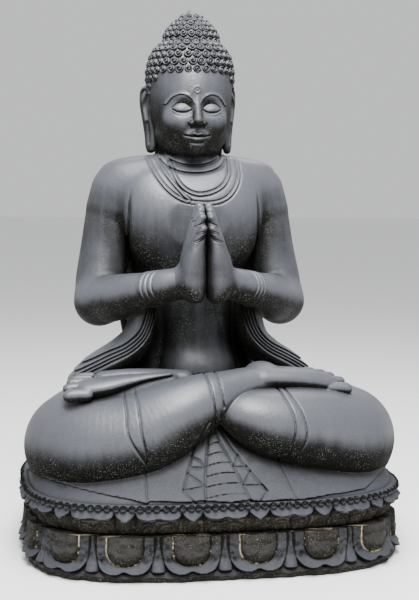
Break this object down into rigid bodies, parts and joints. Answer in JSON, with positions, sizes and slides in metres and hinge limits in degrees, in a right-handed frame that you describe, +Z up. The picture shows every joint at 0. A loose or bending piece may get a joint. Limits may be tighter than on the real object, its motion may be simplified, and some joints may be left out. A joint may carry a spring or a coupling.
{
  "type": "seated praying statue",
  "caption": "Carved stone figure sitting cross-legged with joined palms on a double lotus pedestal, built from pinned and bedded blocks.",
  "frame": {"origin": "middle of the flat underside of the pedestal", "axes": "+Z up, the figure faces -Y, +X is the figure's left and the viewer's right"},
  "size_m": [0.8382, 0.64, 1.198],
  "materials": {
    "river_stone": "dark basaltic river stone, rubbed satin on raised parts, with pale flecks and cream deposits in its cuts",
    "mortar": "fine lime mortar tinted to the stone",
    "dowel_steel": "bright stainless rod",
    "resin": "cured stone adhesive"
  },
  "bodies": {
    "root": {"plinth_block": "river_stone", "seat_block": "river_stone", "lap_block": "river_stone", "torso_block": "river_stone", "hands_block": "river_stone", "head_block": "river_stone", "topknot_block": "river_stone", "plinth_mortar": "mortar", "seat_mortar": "mortar", "waist_mortar": "mortar", "neck_mortar": "mortar", "crown_mortar": "mortar", "right_wrist_mortar": "mortar", "left_wrist_mortar": "mortar", "plinth_dowels": "dowel_steel", "seat_dowels": "dowel_steel", "waist_dowels": "dowel_steel", "neck_dowel": "dowel_steel", "crown_dowel": "dowel_steel", "right_wrist_dowel": "dowel_steel", "left_wrist_dowel": "dowel_steel", "dowel_resin": "resin"}
  },
  "joints": []
}
